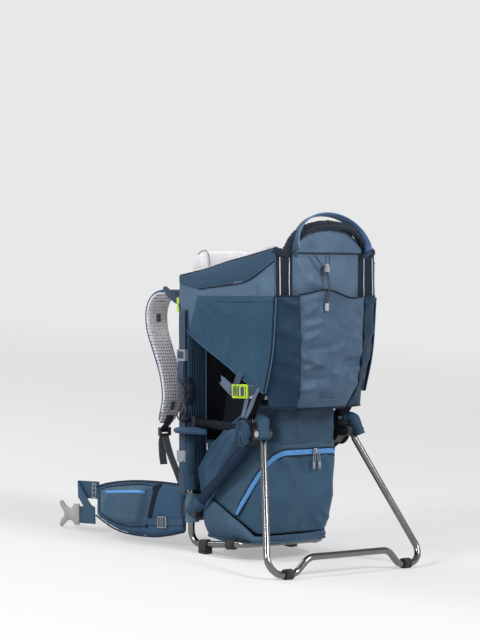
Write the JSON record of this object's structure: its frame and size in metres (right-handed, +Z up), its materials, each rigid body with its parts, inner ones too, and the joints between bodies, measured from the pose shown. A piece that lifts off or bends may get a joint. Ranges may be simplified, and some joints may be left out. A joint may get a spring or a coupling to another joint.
{
  "type": "framed child carrier backpack",
  "caption": "Framed child carrier on a fold-out kickstand, with cockpit, foot supports, stretch rear pocket, zipped base compartment, shoulder straps and hip belt.",
  "frame": {"origin": "floor level, under the middle of the standing pack", "axes": "+X to the right of the wearer, +Y forward as the wearer faces, +Z up; the pack stands on its kickstand and front feet and leans forward by about 5 degrees"},
  "size_m": [0.4368, 0.6933, 0.7265],
  "materials": {
    "aluminium_tube": "satin",
    "steel_pin": "brushed",
    "black_plastic": "fine matte",
    "black_rubber": "matte",
    "lime_plastic": "satin",
    "silver_plastic": "satin",
    "grey_plastic": "satin",
    "white_plastic": "satin",
    "navy_fabric": "plain weave",
    "denim_fabric": "stretch knit",
    "slate_fabric": "ripstop weave with a soft sheen",
    "back_mesh": "spacer mesh",
    "strap_mesh": "pale spacer mesh",
    "fleece": "short pile",
    "black_webbing": "woven webbing",
    "grey_webbing": "woven webbing",
    "belt_webbing": "woven webbing",
    "blue_zipper": "satin",
    "cord": "braided"
  },
  "bodies": {
    "pack": {"back_frame": "aluminium_tube", "rear_hoop": "aluminium_tube", "side_struts": "aluminium_tube", "crossbars": "aluminium_tube", "frame_clamps": "black_plastic", "base_feet": "black_rubber", "hinge_housings": "black_plastic", "hinge_pins": "steel_pin", "back_track": "black_plastic", "load_lifters": "black_webbing", "load_lifter_hooks": "lime_plastic", "lower_webbing": "grey_webbing", "back_pads": "back_mesh", "lumbar_pad": "back_mesh", "cockpit_side_left": "denim_fabric", "cockpit_side_right": "denim_fabric", "cockpit_front": "navy_fabric", "rear_panel": "slate_fabric", "head_panel": "slate_fabric", "head_pad": "fleece", "harness_straps": "black_webbing", "harness_buckle": "grey_plastic", "rear_pocket": "denim_fabric", "cord_lock": "silver_plastic", "drawcord": "cord", "drawcord_tail": "cord", "drawcord_pull": "white_plastic", "lower_compartment": "slate_fabric", "foot_straps": "black_webbing", "foot_strap_locks": "silver_plastic", "side_buckle_sockets": "lime_plastic"},
    "kickstand": {"kickstand": "aluminium_tube", "kickstand_knuckles": "black_plastic", "kickstand_feet": "black_rubber"},
    "yoke": {"yoke": "black_plastic", "shoulder_strap_left": "strap_mesh", "shoulder_strap_right": "strap_mesh", "strap_locks": "black_plastic"},
    "sternum_left": {"sternum_strap_left": "black_webbing", "sternum_buckle_male": "black_plastic"},
    "sternum_right": {"sternum_strap_right": "black_webbing", "sternum_buckle_female": "black_plastic"},
    "wing_left": {"hip_wing_left": "navy_fabric", "hip_pocket_left": "slate_fabric"},
    "wing_right": {"hip_wing_right": "navy_fabric", "hip_pocket_right": "slate_fabric"},
    "belt_left": {"belt_strap_left": "belt_webbing"},
    "belt_right": {"belt_strap_right": "belt_webbing"},
    "buckle_left": {"belt_buckle_male": "grey_plastic"},
    "buckle_right": {"belt_buckle_female": "grey_plastic"},
    "seat": {"seat_pan": "navy_fabric"},
    "handle": {"grab_handle": "black_webbing"},
    "flap": {"compartment_flap": "slate_fabric"},
    "slider": {"zip_slider": "steel_pin"},
    "pull": {"zip_pull": "white_plastic"},
    "button": {"cord_lock_button": "grey_plastic"},
    "stirrup_left": {"stirrup_left": "slate_fabric"},
    "stirrup_right": {"stirrup_right": "slate_fabric"},
    "side_buckle_left": {"side_buckle_left": "lime_plastic"},
    "side_buckle_right": {"side_buckle_right": "lime_plastic"}
  },
  "joints": [
    {"name": "kickstand_fold", "type": "hinge", "parent": "pack", "child": "kickstand", "pos_m": [0, -0.19146, 0.27099], "axis": [1, 0, 0], "range_deg": [0, 44]},
    {"name": "yoke_height", "type": "slide", "parent": "pack", "child": "yoke", "axis": [0, 0.0904, 0.9959], "range_m": [-0.04, 0.02], "deforming": ["load_lifters", "lower_webbing"]},
    {"name": "sternum_height_left", "type": "slide", "parent": "yoke", "child": "sternum_left", "axis": [0, 0.0904, 0.9959], "range_m": [-0.02, 0.02]},
    {"name": "sternum_height_right", "type": "slide", "parent": "yoke", "child": "sternum_right", "axis": [0, 0.0904, 0.9959], "range_m": [-0.02, 0.02]},
    {"name": "seat_height", "type": "slide", "parent": "pack", "child": "seat", "axis": [0, 0.0904, 0.9959], "range_m": [0, 0.045]},
    {"name": "handle_swing", "type": "hinge", "parent": "pack", "child": "handle", "pos_m": [0, -0.23441, 0.64942], "axis": [1, 0, 0], "range_deg": [0, 65]},
    {"name": "flap_open", "type": "hinge", "parent": "pack", "child": "flap", "pos_m": [0, -0.17963, 0.05845], "axis": [1, 0, 0], "range_deg": [0, 70]},
    {"name": "slider_run", "type": "slide", "parent": "flap", "child": "slider", "axis": [1, 0, 0], "range_m": [-0.07, 0.045]},
    {"name": "pull_swing", "type": "hinge", "parent": "slider", "child": "pull", "pos_m": [0.014, -0.20681, 0.23352], "axis": [1, 0, 0], "range_deg": [-150, 3]},
    {"name": "cord_lock_press", "type": "slide", "parent": "pack", "child": "button", "axis": [0, -0.0904, -0.9959], "range_m": [0, 0.003], "stiffness_N_per_m": 600, "springref_m": -0.002},
    {"name": "wing_left_wrap", "type": "hinge", "parent": "pack", "child": "wing_left", "pos_m": [-0.118, 0.03037, 0.08215], "axis": [0, 0, 1], "range_deg": [-38, 8]},
    {"name": "belt_left_swing", "type": "hinge", "parent": "wing_left", "child": "belt_left", "pos_m": [-0.19, 0.24938, 0.0723], "axis": [0, 0, 1], "range_deg": [-30, 12]},
    {"name": "buckle_left_swing", "type": "hinge", "parent": "belt_left", "child": "buckle_left", "pos_m": [-0.19836, 0.29275, 0.03624], "axis": [0, 0, 1], "range_deg": [-25, 25]},
    {"name": "stirrup_left_height", "type": "slide", "parent": "pack", "child": "stirrup_left", "axis": [0, 0.0904, 0.9959], "range_m": [-0.03, 0.09]},
    {"name": "side_buckle_left_release", "type": "slide", "parent": "pack", "child": "side_buckle_left", "axis": [0, -0.9959, 0.0904], "range_m": [0, 0.028]},
    {"name": "wing_right_wrap", "type": "hinge", "parent": "pack", "child": "wing_right", "pos_m": [0.118, 0.03037, 0.08215], "axis": [0, 0, 1], "range_deg": [-8, 38]},
    {"name": "belt_right_swing", "type": "hinge", "parent": "wing_right", "child": "belt_right", "pos_m": [0.19, 0.24938, 0.0723], "axis": [0, 0, 1], "range_deg": [-12, 30]},
    {"name": "buckle_right_swing", "type": "hinge", "parent": "belt_right", "child": "buckle_right", "pos_m": [0.19836, 0.29275, 0.03624], "axis": [0, 0, 1], "range_deg": [-25, 25]},
    {"name": "stirrup_right_height", "type": "slide", "parent": "pack", "child": "stirrup_right", "axis": [0, 0.0904, 0.9959], "range_m": [-0.03, 0.09]},
    {"name": "side_buckle_right_release", "type": "slide", "parent": "pack", "child": "side_buckle_right", "axis": [0, -0.9959, 0.0904], "range_m": [0, 0.028]}
  ],
  "couplings": [
    {"joint": "sternum_height_right", "follows": "sternum_height_left", "ratio": 1}
  ]
}
